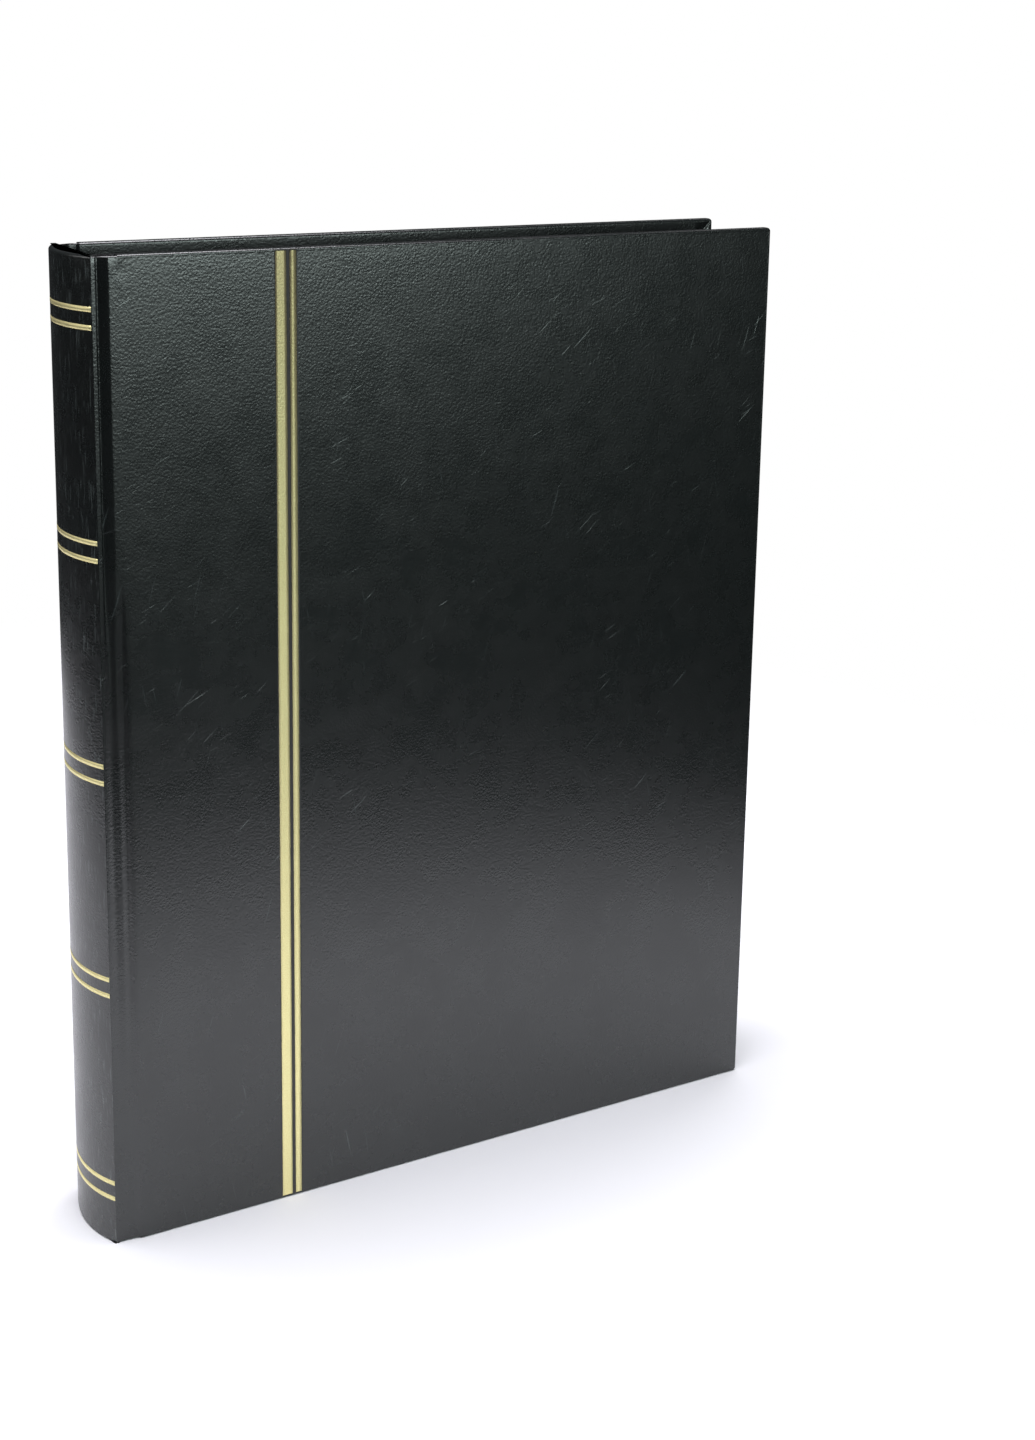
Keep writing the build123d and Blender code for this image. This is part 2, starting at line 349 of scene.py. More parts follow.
spine_low, spine_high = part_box("spine_leather")
cover_low, cover_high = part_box("front_cover_leather")
joint_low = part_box("front_joint_leather")[0]
album_height = cover_high.z
x_back = spine_low.x
x_spine_edge = joint_low.x
x_board = cover_low.x
x_fore = cover_high.x
y_face = -cover_low.y
y_turn_in = -cover_high.y
y_spine_edge = spine_high.y
spine_rise = x_spine_edge - x_back
spine_radius = (y_spine_edge**2 + spine_rise**2) / (2 * spine_rise)
x_spine_centre = x_back + spine_radius
edge_round = 0.8 * MM
corner_round = 1.2 * MM
board_wrap = 0.25 * MM
x_wrap = x_board - board_wrap
foil_band = (47.9 * MM, 54.6 * MM)
wide_stripe = (foil_band[0], foil_band[0] + 3.5 * MM)
narrow_stripe = (foil_band[1] - 2.1 * MM, foil_band[1])
stamp_depth = 0.12 * MM
stamp_slope = 0.18 * MM
black_leathercloth = leathercloth()


def closed_sweep(bm, rings):
    """Skins a row of equal rings of points with quads, and closes both ends."""
    made = [[bm.verts.new(point) for point in ring] for ring in rings]
    for ring, after in zip(made, made[1:]):
        for k in range(len(ring)):
            m = (k + 1) % len(ring)
            bm.faces.new((ring[k], ring[m], after[m], after[k]))
    bm.faces.new(made[0])
    bm.faces.new(reversed(made[-1]))
    return made


def rounded_ends(low, high, radius, step, arc_steps=5):
    """Heights up a piece with rounded ends, each with how far its outline has drawn in."""
    turns = [math.radians(90 * k / arc_steps) for k in range(arc_steps, -1, -1)]
    rows = [(low + radius * (1 - math.sin(t)), radius * (1 - math.cos(t))) for t in turns]
    count = round((high - low - 2 * radius) / step)
    inner = [low + radius + (high - low - 2 * radius) * k / count for k in range(1, count)]
    rows += [(z, 0.0) for z in inner]
    return rows + [(low + high - z, inset) for z, inset in reversed(rows[: len(turns)])]


def roughly(x, z, size, seed=0.0):
    """Smooth unevenness from -1 to 1, with features of about this size."""
    return noise.noise(Vector((x / size + seed, z / size, seed * 1.7)))


def cut_across(bm, axis, places):
    for place in places:
        everything = bm.verts[:] + bm.edges[:] + bm.faces[:]
        centre, normal = Vector(), Vector()
        centre[axis], normal[axis] = place, 1.0
        bmesh.ops.bisect_plane(bm, geom=everything, dist=1e-7, plane_co=centre, plane_no=normal)


def spread(low, high, step):
    count = max(1, round((high - low) / step))
    return [low + (high - low) * k / count for k in range(count + 1)]


def stamped(x):
    """How deep the hot stamp has pressed the cloth at this distance across the cover."""
    depth = 0.0
    for left, right in (wide_stripe, narrow_stripe):
        inside = min(x - x_board - left, right - (x - x_board)) + stamp_slope
        depth = max(depth, min(1.0, max(0.0, inside / stamp_slope)))
    return depth * stamp_depth


def ease(t):
    t = min(1.0, max(0.0, t))
    return t * t * (3 - 2 * t)


tail_profile = (
    (0, 1.0), (0.3, 0.93), (1.5, 0.98), (2.6, 1.0), (3.4, 0.93), (4.6, 0.8), (5.9, 0.82),
    (6.7, 0.7), (7.4, 0.4), (8.2, 0.15), (10, 0.04), (13, 0),
)
middle_profile = (
    (0, 1.0), (0.3, 0.95), (1.5, 1.25), (2.6, 1.6), (3.4, 1.5), (4.3, 0.95), (4.9, 0.85),
    (5.9, 1.12), (6.7, 1.18), (7.4, 0.6), (8.2, 0.2), (10, 0.04), (13, 0),
)
head_profile = (
    (0, 1.0), (0.1, 0.87), (0.3, 0.84), (0.8, 0.81), (1.3, 0.79), (1.5, 1.0), (1.7, 1.65),
    (2.1, 1.85), (3.3, 1.21), (4.6, 0.47), (5.2, 0.25), (7.3, 0.11), (10, 0.02), (13, 0),
)


def along_profile(profile, u):
    """The drop at u on a row of (u, drop) points in millimetres, joined by smooth curves."""
    u = min(max(u / MM, profile[0][0]), profile[-1][0])
    k = max(j for j in range(len(profile) - 1) if profile[j][0] <= u)
    (u0, d0), (u1, d1) = profile[k], profile[k + 1]
    before, after = profile[max(k - 1, 0)], profile[min(k + 2, len(profile) - 1)]
    slope0 = (d1 - before[1]) / (u1 - before[0])
    slope1 = (after[1] - d0) / (after[0] - u0)
    span = u1 - u0
    t = (u - u0) / span
    bend = (2 * t**3 - 3 * t**2 + 1) * d0 + (3 * t**2 - 2 * t**3) * d1
    return (bend + (t**3 - 2 * t**2 + t) * span * slope0 + (t**3 - t**2) * span * slope1) * MM


def joint_drop(u, z):
    """How far the cloth lies below the cover's face, u across from the spine's edge.

    At the head it is pressed into one deep groove beside the spine's edge. In the middle a
    low ridge parts two grooves, and towards the tail both soften.
    """
    drop = along_profile(middle_profile, u)
    towards_head = ease((z - 185 * MM) / (35 * MM))
    towards_tail = ease((130 * MM - z) / (100 * MM))
    drop += (along_profile(head_profile, u) - drop) * towards_head
    return drop + (along_profile(tail_profile, u) - drop) * towards_tail


crease_height = 0.15 * MM
crease_place = 7.4 * MM
crease_width = 3.4 * MM
crease_length = 8 * MM
crease_size = 2.3 * MM


def head_crease(side, x, z):
    """Small folds left by working the cloth into the groove at the head of the joint."""
    across = (x - x_spine_edge - crease_place) / crease_width
    down = (album_height - z) / crease_length
    reach = math.exp(-(across**2)) * math.exp(-(down**2))
    folds = roughly(x * 2.2 + z * 0.5, z * 0.5 - x * 0.6, crease_size, 9.0 + side)
    return crease_height * reach * folds


wave_height = 0.04 * MM
wave_size = 55 * MM
rim_settle = 0.07 * MM
settle_reach = 2.5 * MM


def slow_waves(side, x, z):
    """How far the glued cloth lies below its highest level, as the board under it varies."""
    return wave_height * (roughly(x, z, wave_size, 3.0 + side) - 1.0)


def board_swell(side, x, z):
    """Height of the outer cloth above flat: slow waves, the stamp and the edges' rounding."""
    near_edge = min(x_fore - x, z, album_height - z)
    settle = -rim_settle * math.exp(-near_edge / settle_reach)
    pressed = stamped(x) if side == FRONT else 0.0
    fall = joint_drop(x - x_spine_edge, z)
    return slow_waves(side, x, z) + settle + head_crease(side, x, z) - pressed - fall


def covered_board(side):
    """The covered board as a closed slab with rounded rims, free corners and turned-in mitres."""
    bm = bmesh.new()
    bmesh.ops.create_cube(bm, size=1)
    size = Vector((x_fore - x_wrap, y_face - y_turn_in, album_height))
    middle = Vector(((x_fore + x_wrap) / 2, side * (y_face + y_turn_in) / 2, album_height / 2))
    for vert in bm.verts:
        vert.co = Vector([vert.co[k] * size[k] + middle[k] for k in range(3)])

    def both(edge, axis):
        return abs(edge.verts[0].co[axis] - edge.verts[1].co[axis]) < 1e-7

    free = [e for e in bm.edges if both(e, 0) and both(e, 2) and e.verts[0].co.x > middle.x]
    settings = {"profile": 0.5, "affect": "EDGES", "offset_type": "OFFSET"}
    bmesh.ops.bevel(bm, geom=free, offset=corner_round, segments=5, **settings)
    rims = [
        e
        for e in bm.edges
        if both(e, 1) and not (both(e, 0) and e.verts[0].co.x < middle.x)
    ]
    bmesh.ops.bevel(bm, geom=rims, offset=edge_round, segments=4, **settings)

    inside_rim = edge_round + 0.5 * MM
    x_lines = spread(x_wrap, x_board + 7 * MM, 0.6 * MM)[1:]
    x_lines += spread(x_board + 7 * MM, x_fore - inside_rim, 6.5 * MM)[1:]
    for left, right in (wide_stripe, narrow_stripe):
        for edge, outward in ((left, -1), (right, 1)):
            for steps in (-1, 0, 1, 2):
                x_lines.append(x_board + edge + outward * steps * stamp_slope)
    z_lines = spread(inside_rim, album_height - 16 * MM, 6.5 * MM)
    z_lines += spread(album_height - 16 * MM, album_height - inside_rim, 1.1 * MM)[1:]
    cut_across(bm, 0, x_lines)
    cut_across(bm, 2, z_lines)

    mitre_half, mitre_depth, mitre_length = 0.22 * MM, 0.28 * MM, 15 * MM
    for z_corner, slope in ((0, 1), (album_height, -1)):
        corner = Vector((x_fore, side * y_turn_in, z_corner))
        along = Vector((-1, 0, slope)).normalized()
        across = Vector((slope, 0, 1)).normalized()
        for shift in (-mitre_half, 0.0, mitre_half):
            near = [
                f
                for f in bm.faces
                if abs(f.calc_center_median().y) < y_turn_in + edge_round
                and abs(f.calc_center_median().x - x_fore) < mitre_length
                and abs(f.calc_center_median().z - z_corner) < mitre_length
            ]
            edges = {e for f in near for e in f.edges}
            verts = {v for f in near for v in f.verts}
            bmesh.ops.bisect_plane(
                bm,
                geom=list(verts) + list(edges) + near,
                dist=1e-7,
                plane_co=corner + across * shift,
                plane_no=across,
            )
        for vert in bm.verts:
            offset = vert.co - corner
            reach = offset.dot(along)
            on_line = abs(offset.y) < edge_round and abs(offset.dot(across)) < 1e-6
            if on_line and 0 < reach < 1.4 * mitre_length:
                vert.co.y += side * mitre_depth * max(0.0, 1 - abs(offset.y) / edge_round)

    for vert in bm.verts:
        if abs(abs(vert.co.y) - y_face) < 1e-6:
            vert.co.y += side * board_swell(side, vert.co.x, vert.co.z)
    for edge in bm.edges:
        if all(abs(v.co.x - x_wrap) < 1e-6 for v in edge.verts):
            edge.smooth = False
    return bm


joint_fold = 1.0 * MM


def hinge_strip(side):
    """The cloth across the hinge groove, doubled by its turn-ins and rounded at both ends."""
    width = x_wrap - x_spine_edge
    across = [0.05 * MM * k for k in range(6)] + spread(0.3 * MM, width, 0.2 * MM)
    radius = joint_fold / 2 - 0.04 * MM
    low, high = 0.35 * MM, album_height - 0.35 * MM
    rings = []
    for z, inset in rounded_ends(low, high, radius, 2.4 * MM):
        outer, inner = [], []
        for u in across:
            x = x_spine_edge + u
            waves = slow_waves(side, x_wrap, z) * ease(u / width)
            drop = joint_drop(u, z) - head_crease(side, x, z) - waves
            fold = joint_fold - 0.45 * MM * ease(drop / (1.9 * MM))
            outer.append((x, side * (y_face - drop - inset), z))
            inner.append((x, side * (y_face - drop - fold + inset), z))
        rings.append(outer + inner[::-1])
    bm = bmesh.new()
    made = closed_sweep(bm, rings)
    edge_columns = (0, len(across) - 1, len(across), 2 * len(across) - 1)
    for ring, after in zip(made, made[1:]):
        for column in edge_columns:
            bm.edges.get((ring[column], after[column])).smooth = False
    return bm


spine_wall = 2.4 * MM
lip_start = 16.6 * MM
lip_slope = 0.5 * MM
lip_thinning = 1.7 * MM
spine_wave_height = 0.03 * MM
spine_wave_size = 40 * MM
spine_end_round = 0.9 * MM


def round_spine():
    """The covered spine: a slab bent to the round back, rounded over at head and tail."""
    half_turn = math.asin(y_spine_edge / spine_radius)
    turns = [half_turn * (k / 36 - 1) for k in range(73)]
    rings = []
    for z, inset in rounded_ends(0, album_height, spine_end_round, 4 * MM, 6):
        outer, inner = [], []
        for turn in turns:
            y = spine_radius * math.sin(turn)
            swell = spine_wave_height * (roughly(y * 1.5, z, spine_wave_size, 21.0) - 1.3)
            wall = spine_wall - lip_thinning * ease((abs(y) - lip_start) / lip_slope)
            for ring, radius in (
                (outer, spine_radius - inset + swell),
                (inner, spine_radius - wall + inset),
            ):
                reach = math.sqrt(radius**2 - y**2)
                ring.append((x_spine_centre - reach, y, z))
        rings.append(outer + inner[::-1])
    bm = bmesh.new()
    made = closed_sweep(bm, rings)
    count = len(turns)
    for ring, after in zip(made, made[1:]):
        for column in (0, count - 1, count, 2 * count - 1):
            bm.edges.get((ring[column], after[column])).smooth = False
    return bm


def lay_cloth_map(mesh):
    """A UV map in metres that lies flat on each face, so the grain keeps its size and place."""
    uv = mesh.uv_layers.new(name="cloth")
    for face in mesh.polygons:
        normal = face.normal
        flat = max(range(3), key=lambda k: abs(normal[k]))
        for loop in face.loop_indices:
            x, y, z = mesh.vertices[mesh.loops[loop].vertex_index].co
            across = x if normal.y * y > 0 else x + inner_patch
            across = across if y < 0 else across + back_patch
            end_spot = (x + end_patch[0], y + end_patch[1])
            uv.data[loop].uv = ((y + spine_patch, z), (across, z), end_spot)[flat]


def finish_piece(name, meshes, materials):
    """Joins closed shells into one smooth-shaded object with outward faces."""
    joined = bmesh.new()
    for bm in meshes:
        bmesh.ops.recalc_face_normals(bm, faces=bm.faces)
        for face in bm.faces:
            face.smooth = True
        mesh = bpy.data.meshes.new("shell")
        bm.to_mesh(mesh)
        bm.free()
        joined.from_mesh(mesh)
        bpy.data.meshes.remove(mesh)
    mesh = bpy.data.meshes.new(name)
    joined.to_mesh(mesh)
    joined.free()
    for material in materials:
        mesh.materials.append(material)
    piece = bpy.data.objects.new(name, mesh)
    bpy.context.scene.collection.objects.link(piece)
    return piece


for name, side in SIDES.items():
    shells = [covered_board(side), hinge_strip(side)]
    if side == FRONT:
        shells.append(round_spine())
    case = finish_piece(f"{name}_case_leathercloth", shells, [black_leathercloth])
    lay_cloth_map(case.data)
    covered = [f"{name}_cover_leather", f"{name}_joint_leather"]
    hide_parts(*(covered + ["spine_leather"] if side == FRONT else covered))
    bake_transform(case)


# ---- Gold foil ---------------------------------------------------------------------------
# Pale gold foil stamped hot into the cloth: a wide and a narrow stripe down the front cover
# and over its head and tail edges, and five pairs of lines across the round back.
# Heights in millimetres over which painted shade darkens the cover's foil towards its head.
head_shade_span = (195, 310)


def gold_leaf():
    """Satin foil, speckled, with painted shade that darkens it towards the head of the cover."""
    material, tree, shader = new_material("gold_foil")
    position = in_millimetres(tree, "UV")
    grain = place_group(tree, leather_grain, Position=position, Pebble_Size=0.6)
    speckle = noise_node(tree, position, 2.6, 3.0, 0.7)
    tone = mix_colours(
        tree, map_range(tree, speckle, 0.3, 0.7), (0.86, 0.735, 0.33, 1), (1.0, 0.935, 0.53, 1)
    )
    place = add_node(tree, "ShaderNodeSeparateXYZ", slots=(position,)).outputs
    # Painted shade: up its top part the foil on the cover is mixed towards dark brown, standing
    # in for the weaker light there.
    head_shade = map_range(tree, place["Y"], *head_shade_span, 0.0, 0.7)
    on_cover = map_range(tree, place["X"], *past_spine)
    head_shade = math_node(tree, "MULTIPLY", head_shade, on_cover)
    tone = mix_colours(tree, head_shade, tone, (0.34, 0.27, 0.15, 1))
    tree.links.new(tone, shader.inputs["Base Color"])
    shader.inputs["Metallic"].default_value = 0.8
    tree.links.new(map_range(tree, speckle, 0.3, 0.7, 0.56, 0.42), shader.inputs["Roughness"])
    bump(tree, shader, grain.outputs["Height"], 0.00007)
    return material


gold_foil = gold_leaf()
foil_lift = 0.02 * MM
foil_edge = 0.03 * MM
foil_raggedness = 0.035 * MM
ragged_size = 2.4 * MM


def foil_path():
    """Points (height, depth below the face) down the cover, over both rounded edges."""
    turns = [math.radians(62 - 62 * k / 6) for k in range(7)]
    radius = edge_round
    tail = [(radius * (1 - math.sin(t)), radius * (1 - math.cos(t))) for t in turns]
    count = 150
    low, high = radius, album_height - radius
    face = [(low + (high - low) * k / count, 0.0) for k in range(1, count)]
    return tail + face + [(album_height - z, depth) for z, depth in reversed(tail)]


def foil_stripe(limits, seed):
    """A band of foil lying in its stamped hollow, with slightly ragged edges."""
    rings = []
    for z, depth in foil_path():
        sides = []
        for k, edge in enumerate(limits):
            ragged = foil_raggedness * roughly(z, edge, ragged_size, seed + k)
            sides.append(x_board + edge + ragged)
        columns = spread(*sides, 0.9 * MM)
        level = min(max(z, edge_round), album_height - edge_round)
        ring = []
        for lift, row in ((foil_lift, columns), (-foil_edge, columns[::-1])):
            for x in row:
                y = -(y_face - depth + board_swell(FRONT, x, level) + lift)
                ring.append((x, y, z))
        rings.append(ring)
    bm = bmesh.new()
    closed_sweep(bm, rings)
    return bm


stripes = finish_piece(
    "cover_stripes",
    [foil_stripe(wide_stripe, 31.0), foil_stripe(narrow_stripe, 47.0)],
    [gold_foil],
)
lay_cloth_map(stripes.data)
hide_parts("cover_foil_stripes")
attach(stripes, "front_cover")


def modifier_inputs(piece, tree, values):
    """Adds the node tree to the piece and sets its inputs by their sockets' identifiers."""
    modifier = piece.modifiers.new(tree.name, "NODES")
    modifier.node_group = tree
    for item in tree.interface.items_tree:
        if item.item_type == "SOCKET" and item.in_out == "INPUT" and item.name in values:
            modifier[item.identifier] = values[item.name]
    return modifier


def plain_mesh(piece):
    """Replaces a piece's mesh by what its modifiers make of it, and removes them."""
    graph = bpy.context.evaluated_depsgraph_get()
    made = bpy.data.meshes.new_from_object(piece.evaluated_get(graph))
    piece.modifiers.clear()
    piece.data = made
    return piece


def geometry_tree(name, inputs):
    tree = bpy.data.node_groups.new(name, "GeometryNodeTree")
    tree.interface.new_socket("Geometry", in_out="INPUT", socket_type="NodeSocketGeometry")
    for label, kind, value in inputs:
        socket = tree.interface.new_socket(label, in_out="INPUT", socket_type=kind)
        if value is not None:
            socket.default_value = value
    tree.interface.new_socket("Geometry", in_out="OUTPUT", socket_type="NodeSocketGeometry")
    return tree, tree.nodes.new("NodeGroupInput"), tree.nodes.new("NodeGroupOutput")


def repeat_tree(name):
    """Repeats a piece Count times by Step, each place holding Twin Count by Twin Step."""
    tree, given, result = geometry_tree(
        name,
        [
            ("Count", "NodeSocketInt", 5),
            ("Start", "NodeSocketVector", None),
            ("Step", "NodeSocketVector", None),
            ("Twin Count", "NodeSocketInt", 2),
            ("Twin Step", "NodeSocketVector", None),
            ("Material", "NodeSocketMaterial", None),
        ],
    )

    def row(count, start, step, shape):
        line = add_node(
            tree,
            "GeometryNodeMeshLine",
            {"mode": "OFFSET"},
            Count=count,
            Start_Location=start,
            Offset=step,
        )
        made = add_node(
            tree, "GeometryNodeInstanceOnPoints", Points=line.outputs["Mesh"], Instance=shape
        )
        return made.outputs["Instances"]

    put = given.outputs
    twins = row(put["Twin Count"], None, put["Twin Step"], put["Geometry"])
    rows = row(put["Count"], put["Start"], put["Step"], twins)
    real = add_node(tree, "GeometryNodeRealizeInstances", Geometry=rows)
    painted = add_node(
        tree,
        "GeometryNodeSetMaterial",
        Geometry=real.outputs[0],
        Material=given.outputs["Material"],
    )
    tree.links.new(painted.outputs[0], result.inputs["Geometry"])
    return tree


line_width = 1.5 * MM
line_spacing = 5.3 * MM
pair_margin = 18 * MM
pair_count = 5


def spine_line():
    """One foil line as a thin band that follows the round back, about z = 0."""
    half_turn = math.asin((y_spine_edge - 0.15 * MM) / spine_radius)
    rings = []
    for k in range(41):
        turn = half_turn * (k / 20 - 1)
        out, sideways = -math.cos(turn), math.sin(turn)
        ring = []
        for lift, z in ((0.0, -0.5), (0.0, 0.5), (-0.12, 0.5), (-0.12, -0.5)):
            radius = spine_radius + lift * MM
            ring.append((x_spine_centre + out * radius, sideways * radius, z * line_width))
        rings.append(ring)
    bm = bmesh.new()
    closed_sweep(bm, rings)
    return bm


repeated = repeat_tree("repeated_pieces")
lines = finish_piece("spine_lines", [spine_line()], [gold_foil])
pair_pitch = (album_height - 2 * pair_margin) / (pair_count - 1)
modifier_inputs(
    lines,
    repeated,
    {
        "Count": pair_count,
        "Start": (0, 0, pair_margin - line_spacing / 2),
        "Step": (0, 0, pair_pitch),
        "Twin Count": 2,
        "Twin Step": (0, 0, line_spacing),
        "Material": gold_foil,
    },
)
plain_mesh(lines)
lay_cloth_map(lines.data)
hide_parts("spine_foil_lines")
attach(lines, "spine")


# ---- Boards, lining and endpapers --------------------------------------------------------
# Grey pasteboard inside the covers and the round spine, kraft lining on the block's back,
# and black laid paper pasted inside the covers and left loose as the flyleaves.
def fibre_group():
    """Paper fibres: fine cloudy pulp with short threads in it. Position in mm."""
    group, given, result = node_group(
        "paper_fibres",
        [("Position", "NodeSocketVector", None)],
        [("Height", "NodeSocketFloat"), ("Cloud", "NodeSocketFloat")],
    )
    pulp = noise_node(group, given.outputs["Position"], 2.4, 5.0, 0.7)
    laid = add_node(
        group, "ShaderNodeMapping", Vector=given.outputs["Position"], Scale=(0.5, 0.5, 2.2)
    )
    threads = noise_node(group, laid.outputs[0], 1.6, 2.0)
    height = math_node(group, "MULTIPLY_ADD", threads, 0.6, pulp)
    group.links.new(height, result.inputs["Height"])
    cloud = noise_node(group, given.outputs["Position"], 0.12, 4.0, 0.6)
    group.links.new(cloud, result.inputs["Cloud"])
    return group


paper_fibres = fibre_group()


def paper_stock(name, dark, light, roughness, relief):
    material, tree, shader = new_material(name)
    position = in_millimetres(tree, "Object")
    fibres = place_group(tree, paper_fibres, Position=position)
    tone = mix_colours(tree, map_range(tree, fibres.outputs["Cloud"], 0.3, 0.7), dark, light)
    fleck = map_range(tree, fibres.outputs["Height"], 1.0, 1.25)
    tone = mix_colours(tree, math_node(tree, "MULTIPLY", fleck, 0.5), tone, light)
    tree.links.new(tone, shader.inputs["Base Color"])
    tree.links.new(
        map_range(tree, fibres.outputs["Cloud"], 0.3, 0.7, roughness, roughness - 0.1),
        shader.inputs["Roughness"],
    )
    shader.inputs["Specular IOR Level"].default_value = 0.35
    bump(tree, shader, fibres.outputs["Height"], relief)
    return material


def repaint(node, material):
    """Gives a CAD node its finish."""
    for material_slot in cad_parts[node].material_slots:
        material_slot.material = material


greyboard = paper_stock("greyboard", (0.22, 0.20, 0.18, 1), (0.36, 0.34, 0.31, 1), 0.9, 0.00005)
lining_paper = paper_stock(
    "lining_paper", (0.30, 0.23, 0.15, 1), (0.45, 0.36, 0.25, 1), 0.85, 0.00004
)
endpaper = paper_stock(
    "endpaper", (0.012, 0.012, 0.013, 1), (0.022, 0.022, 0.023, 1), 0.72, 0.00003
)
for node in ("front_board", "back_board", "spine_board"):
    repaint(node, greyboard)
repaint("spine_lining", lining_paper)
for name in SIDES:
    repaint(f"{name}_pastedown", endpaper)
    repaint(f"{name}_flyleaf", endpaper)


# ---- Card leaves, guards and cloth hinges ------------------------------------------------
# Stiff black card leaves hang on strips of fine black cloth from a block of card guards,
# with spacers between them, that is glued and stapled through.
black_card = paper_stock(
    "black_card", (0.010, 0.0105, 0.012, 1), (0.017, 0.018, 0.020, 1), 0.68, 0.00004
)
leaf_names = sorted(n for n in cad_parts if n.startswith("leaf_") and n[5:].isdigit())
for leaf in leaf_names:
    repaint(leaf, black_card)
repaint("leaf_guards", black_card)


def weave_group():
    """Plain weave: threads over and under, with soft slubs. Position in mm."""
    group, given, result = node_group(
        "plain_weave",
        [("Position", "NodeSocketVector", None), ("Thread", "NodeSocketFloat", 0.25)],
        [("Height", "NodeSocketFloat"), ("Slub", "NodeSocketFloat")],
    )
    parts = add_node(group, "ShaderNodeSeparateXYZ", slots=(given.outputs["Position"],))
    rate = math_node(group, "DIVIDE", math.pi, given.outputs["Thread"])
    warp = math_node(group, "SINE", math_node(group, "MULTIPLY", parts.outputs["X"], rate))
    weft = math_node(group, "SINE", math_node(group, "MULTIPLY", parts.outputs["Y"], rate))
    over = math_node(group, "MULTIPLY", warp, weft)
    slub = noise_node(group, given.outputs["Position"], 1.1, 3.0)
    height = math_node(group, "MULTIPLY_ADD", slub, 0.6, over)
    group.links.new(height, result.inputs["Height"])
    group.links.new(slub, result.inputs["Slub"])
    return group


plain_weave = weave_group()


def woven(name, dark, light, thread, relief):
    material, tree, shader = new_material(name)
    weave = place_group(tree, plain_weave, Position=in_millimetres(tree, "UV"), Thread=thread)
    tone = mix_colours(tree, map_range(tree, weave.outputs["Height"], -0.6, 1.2), dark, light)
    tree.links.new(tone, shader.inputs["Base Color"])
    tree.links.new(
        map_range(tree, weave.outputs["Slub"], 0.3, 0.7, 0.85, 0.72), shader.inputs["Roughness"]
    )
    shader.inputs["Sheen Weight"].default_value = 0.15
    bump(tree, shader, weave.outputs["Height"], relief)
    return material


hinge_cloth = woven(
    "hinge_cloth", (0.006, 0.006, 0.007, 1), (0.022, 0.022, 0.024, 1), 0.28, 0.00005
)
cloth_low, cloth_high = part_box("leaf_hinge_cloths")
cloth_half = 0.13 * MM


def hinge_cloth_strip(y):
    """A strip of cloth from guard to card, thin in the middle and lapped at both edges."""
    width = cloth_high.x - cloth_low.x
    count = 16
    rings = []
    for k in range(count + 1):
        x = cloth_low.x + width * k / count
        half = cloth_half * (0.75 + 0.25 * math.cos(2 * math.pi * k / count))
        rings.append(
            [
                (x, y - half, cloth_low.z),
                (x, y + half, cloth_low.z),
                (x, y + half, cloth_high.z),
                (x, y - half, cloth_high.z),
            ]
        )
    bm = bmesh.new()
    closed_sweep(bm, rings)
    return bm


for leaf in leaf_names:
    low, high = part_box(leaf)
    cloth = hinge_cloth_strip((low.y + high.y) / 2)
    strip = finish_piece(f"{leaf}_hinge_cloth", [cloth], [hinge_cloth])
    for face in strip.data.polygons:
        face.use_smooth = False
    lay_cloth_map(strip.data)
    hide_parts("leaf_hinge_cloths")
    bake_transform(strip)


# ---- Head and tail bands, staples --------------------------------------------------------
# A cord wrapped in close turns of thread is glued to the block's back at head and tail, and
# bright wire staples clinch the guards together.
def wrap_tree():
    """Sets close turns of thread along a curve, each a small ring of thread."""
    tree, given, result = geometry_tree(
        "wrapped_cord",
        [
            ("Cord Radius", "NodeSocketFloat", 0.6 * MM),
            ("Thread Radius", "NodeSocketFloat", 0.17 * MM),
            ("Material", "NodeSocketMaterial", None),
        ],
    )
    spacing = math_node(tree, "MULTIPLY", given.outputs["Thread Radius"], 1.9)
    spots = add_node(tree, "GeometryNodeMeshToCurve", Mesh=given.outputs["Geometry"])
    points = add_node(
        tree,
        "GeometryNodeCurveToPoints",
        {"mode": "LENGTH"},
        Curve=spots.outputs[0],
        Length=spacing,
    )
    turn = add_node(tree, "GeometryNodeCurvePrimitiveCircle", Resolution=14)
    tree.links.new(given.outputs["Cord Radius"], turn.inputs["Radius"])
    thread = add_node(tree, "GeometryNodeCurvePrimitiveCircle", Resolution=6)
    tree.links.new(given.outputs["Thread Radius"], thread.inputs["Radius"])
    ring = add_node(
        tree,
        "GeometryNodeCurveToMesh",
        Curve=turn.outputs["Curve"],
        Profile_Curve=thread.outputs["Curve"],
    )
    wraps = add_node(
        tree,
        "GeometryNodeInstanceOnPoints",
        Points=points.outputs["Points"],
        Instance=ring.outputs[0],
        Rotation=points.outputs["Rotation"],
    )
    real = add_node(tree, "GeometryNodeRealizeInstances", Geometry=wraps.outputs[0])
    painted = add_node(
        tree,
        "GeometryNodeSetMaterial",
        Geometry=real.outputs[0],
        Material=given.outputs["Material"],
    )
    tree.links.new(painted.outputs[0], result.inputs["Geometry"])
    return tree


band_cloth = woven("band_cloth", (0.012, 0.012, 0.013, 1), (0.05, 0.05, 0.053, 1), 0.2, 0.00003)
band_low, band_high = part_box("head_and_tail_bands")
band_radius = 0.8 * MM
thread_radius = 0.16 * MM


def band_path(z):
    """The curve of a band round the block's back, as a row of joined points."""
    half = band_high.y - band_radius
    rise = band_high.x - band_low.x - 2 * band_radius
    radius = (half**2 + rise**2) / (2 * rise)
    centre = band_low.x + band_radius + radius
    mesh = bpy.data.meshes.new("band_path")
    turns = [math.asin(half / radius) * (k / 12 - 1) for k in range(25)]
    points = [(centre - radius * math.cos(t), radius * math.sin(t), z) for t in turns]
    mesh.from_pydata(points, [(k, k + 1) for k in range(len(points) - 1)], [])
    return mesh


